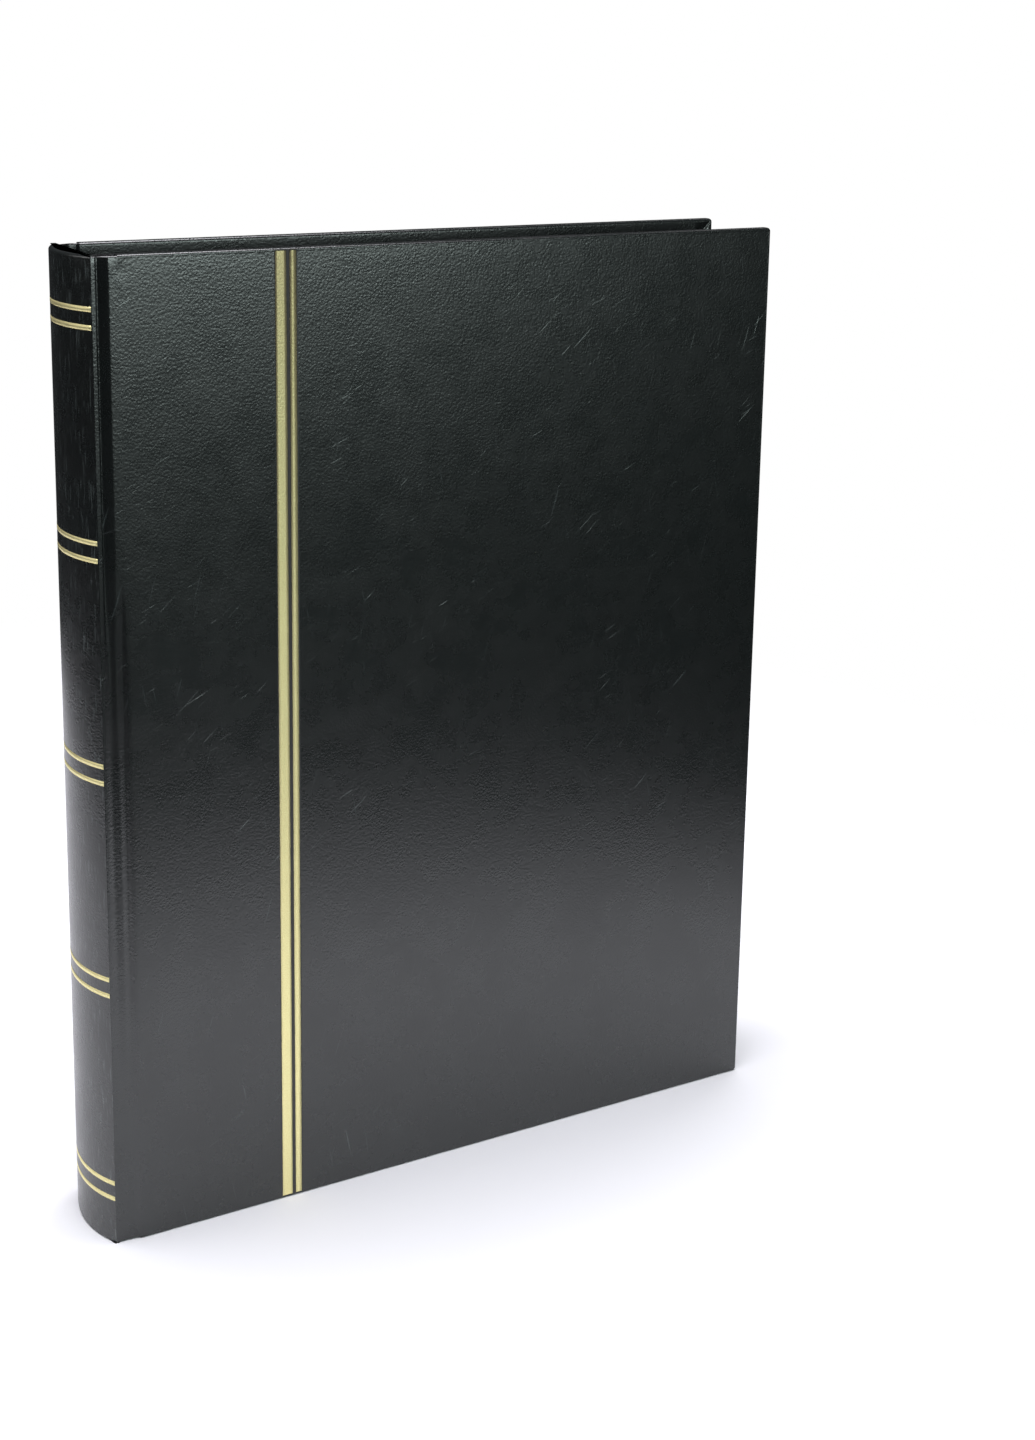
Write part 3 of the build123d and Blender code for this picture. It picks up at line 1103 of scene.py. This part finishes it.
wrapped_cord = wrap_tree()
for place, z in (("tail", band_low.z + band_radius), ("head", band_high.z - band_radius)):
    band = bpy.data.objects.new(f"{place}_band", band_path(z))
    bpy.context.scene.collection.objects.link(band)
    modifier_inputs(
        band,
        wrapped_cord,
        {
            "Cord Radius": band_radius - thread_radius,
            "Thread Radius": thread_radius,
            "Material": band_cloth,
        },
    )
    plain_mesh(band)
    lay_cloth_map(band.data)
    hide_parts("head_and_tail_bands")
    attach(band, "spine")


def bright_wire():
    material, tree, shader = new_material("staple_wire")
    position = in_millimetres(tree, "Object")
    drawn = noise_node(tree, position, 3.0, 3.0)
    tone = mix_colours(tree, drawn, (0.45, 0.45, 0.46, 1), (0.72, 0.72, 0.74, 1))
    tree.links.new(tone, shader.inputs["Base Color"])
    shader.inputs["Metallic"].default_value = 1.0
    tree.links.new(map_range(tree, drawn, 0.3, 0.7, 0.3, 0.45), shader.inputs["Roughness"])
    return material


repaint("binding_staples", bright_wire())


# ---- Pocket strips -----------------------------------------------------------------------
# Strips of clear film lie across both faces of every leaf, welded to the card along the
# foot and both ends and open at the top, so that stamps slide in behind them.
def clear_film_finish():
    material, tree, shader = new_material("clear_film")
    position = in_millimetres(tree, "Object")
    ripple = noise_node(tree, position, 0.08, 2.0)
    haze = noise_node(tree, position, 0.5, 4.0, 0.6)
    shader.inputs["Base Color"].default_value = (0.92, 0.95, 0.97, 1)
    tree.links.new(map_range(tree, haze, 0.3, 0.7, 0.06, 0.16), shader.inputs["Roughness"])
    shader.inputs["IOR"].default_value = 1.5
    shader.inputs["Transmission Weight"].default_value = 1.0
    bump(tree, shader, ripple, 0.0004)
    return material


clear_film = clear_film_finish()
pockets_low, pockets_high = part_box("leaf_01_pockets")
leaf_low, leaf_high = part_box("leaf_01")
pocket_height = 22.5 * MM
pocket_pitch = 31 * MM
film_thickness = 0.08 * MM
pocket_rise = leaf_low.y - pockets_low.y
pocket_count = 1 + round((pockets_high.z - pockets_low.z - pocket_height) / pocket_pitch)


def pocket_strip():
    """One strip on the +Y side of a card face at y = 0, its foot at z = 0 and middle at x = 0."""
    half_width = (pockets_high.x - pockets_low.x) / 2
    weld = 1.2 * MM
    ends = [0.0, 0.4 * weld, weld, 3 * weld, 6 * weld]
    columns = [-half_width + e for e in ends]
    columns += spread(-half_width + ends[-1], half_width - ends[-1], 16 * MM)[1:-1]
    columns += [half_width - e for e in reversed(ends)]
    rows = [share * weld for share in (0.0, 0.4, 1, 3, 8, 15)]
    rows += [pocket_height - 0.4 * MM, pocket_height]
    most = pocket_rise - film_thickness

    def lift(x, z):
        from_end = min(1.0, (half_width - abs(x)) / (5 * weld))
        from_foot = min(1.0, z / (4 * weld))
        bow = 0.78 + 0.22 * math.sin(x / (11 * MM)) * z / pocket_height
        return 0.01 * MM + (most - 0.01 * MM) * min(1.0, from_end * from_foot * bow * 1.2)

    rings = []
    for x in columns:
        corner = 1.6 * MM if abs(abs(x) - half_width) < 1e-9 else 0.0
        near = [(x, lift(x, z), min(z, pocket_height - corner)) for z in rows]
        rings.append(near + [(px, py + film_thickness, pz) for px, py, pz in reversed(near)])
    bm = bmesh.new()
    closed_sweep(bm, rings)
    return bm


def both_faces(piece, gap):
    """Adds a copy turned half round about Z, with the two set gap apart."""
    mesh = piece.data
    mesh.transform(Matrix.Translation((0, gap / 2, 0)))
    bm = bmesh.new()
    bm.from_mesh(mesh)
    turned = mesh.copy()
    turned.transform(Matrix.Rotation(math.pi, 4, "Z"))
    bm.from_mesh(turned)
    bm.to_mesh(mesh)
    bm.free()
    bpy.data.meshes.remove(turned)


strips = finish_piece("pocket_strips", [pocket_strip()], [clear_film])
both_faces(strips, leaf_high.y - leaf_low.y)
modifier_inputs(
    strips,
    repeated,
    {
        "Count": pocket_count,
        "Start": ((pockets_low.x + pockets_high.x) / 2, 0, pockets_low.z),
        "Step": (0, 0, pocket_pitch),
        "Twin Count": 1,
        "Twin Step": (0, 0, 0),
        "Material": clear_film,
    },
)
plain_mesh(strips)
for leaf in leaf_names:
    low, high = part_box(leaf)
    mesh = strips.data.copy()
    mesh.transform(Matrix.Translation((0, (low.y + high.y) / 2, 0)))
    film = bpy.data.objects.new(f"{leaf}_film_strips", mesh)
    bpy.context.scene.collection.objects.link(film)
    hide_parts(f"{leaf}_pockets")
    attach(film, leaf)
bpy.data.objects.remove(strips)


# ---- Glassine interleaves ----------------------------------------------------------------
# Thin translucent glazed sheets between the leaves keep the stamps on facing pages apart.
# They are slightly cockled and hang from the guards with the leaves.
def glassine_finish():
    material, tree, shader = new_material("glassine")
    position = in_millimetres(tree, "UV")
    fibres = place_group(tree, paper_fibres, Position=position)
    blotch = noise_node(tree, position, 0.05, 5.0, 0.65)
    tone = mix_colours(
        tree, map_range(tree, blotch, 0.3, 0.7), (0.62, 0.67, 0.68, 1), (0.80, 0.84, 0.84, 1)
    )
    tree.links.new(tone, shader.inputs["Base Color"])
    tree.links.new(map_range(tree, blotch, 0.35, 0.7, 0.30, 0.42), shader.inputs["Roughness"])
    tree.links.new(map_range(tree, blotch, 0.3, 0.75, 0.5, 0.72), shader.inputs["Alpha"])
    bump(tree, shader, fibres.outputs["Height"], 0.00003)
    return material


glassine = glassine_finish()
cockle = 0.16 * MM


def glassine_sheet(low, high, seed):
    """A thin sheet with shallow waves that die away towards the binding."""
    y = (low.y + high.y) / 2
    half = (high.y - low.y) / 2
    columns = spread(low.x, cloth_high.x, 0.45 * MM)
    columns += spread(cloth_high.x, high.x, 9 * MM)[1:]
    rows = spread(low.z, high.z, 9 * MM)
    bm = bmesh.new()
    faces = []
    for lift in (-half, half):
        grid = []
        for z in rows:
            grid.append([])
            for x in columns:
                wave = cockle * roughly(x, z, 0.05, seed) * min(1.0, (x - low.x) / (40 * MM))
                grid[-1].append(bm.verts.new((x, y + wave + lift, z)))
        faces.append(grid)
    near, far = faces
    for j in range(len(rows) - 1):
        for k in range(len(columns) - 1):
            for grid in faces:
                bm.faces.new((grid[j][k], grid[j][k + 1], grid[j + 1][k + 1], grid[j + 1][k]))

    def rim(grid):
        up = [row[-1] for row in grid[1:]]
        down = [row[0] for row in grid[-2:0:-1]]
        return grid[0] + up + grid[-1][-2::-1] + down

    rim_near, rim_far = rim(near), rim(far)
    for k in range(len(rim_near)):
        m = (k + 1) % len(rim_near)
        bm.faces.new((rim_near[k], rim_near[m], rim_far[m], rim_far[k]))
    return bm


for node in sorted(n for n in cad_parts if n.startswith("interleaf_")):
    low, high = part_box(node)
    seed = 60.0 + int(node[-2:])
    sheet = finish_piece(f"{node}_glassine", [glassine_sheet(low, high, seed)], [glassine])
    lay_cloth_map(sheet.data)
    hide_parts(node)
    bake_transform(sheet)
